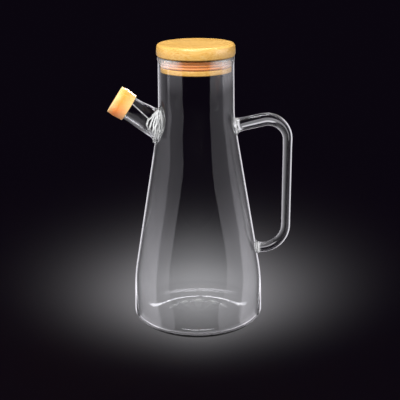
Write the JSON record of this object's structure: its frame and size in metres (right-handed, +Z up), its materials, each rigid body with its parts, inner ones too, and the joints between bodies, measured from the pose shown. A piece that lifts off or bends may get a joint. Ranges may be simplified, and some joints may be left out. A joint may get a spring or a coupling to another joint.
{
  "type": "oil dispenser bottle",
  "caption": "Clear glass oil bottle with a conical body, a capped side spout, a rod handle and a bamboo lid with a ribbed silicone seal.",
  "frame": {"origin": "centre of the flat foot, on the bottle's axis, in the plane it stands on", "axes": "+Z up along the bottle's axis, +X towards the handle, -X towards the spout"},
  "size_m": [0.1378, 0.1, 0.2173],
  "materials": {
    "glass": "clear polished borosilicate",
    "bamboo": "turned and lightly oiled, satin",
    "seal_silicone": "translucent moulded silicone, satin",
    "cap_silicone": "moulded silicone, satin"
  },
  "bodies": {
    "root": {"glass_bottle": "glass", "bamboo_lid": "bamboo", "silicone_seal": "seal_silicone", "spout_cap": "cap_silicone"}
  },
  "joints": []
}
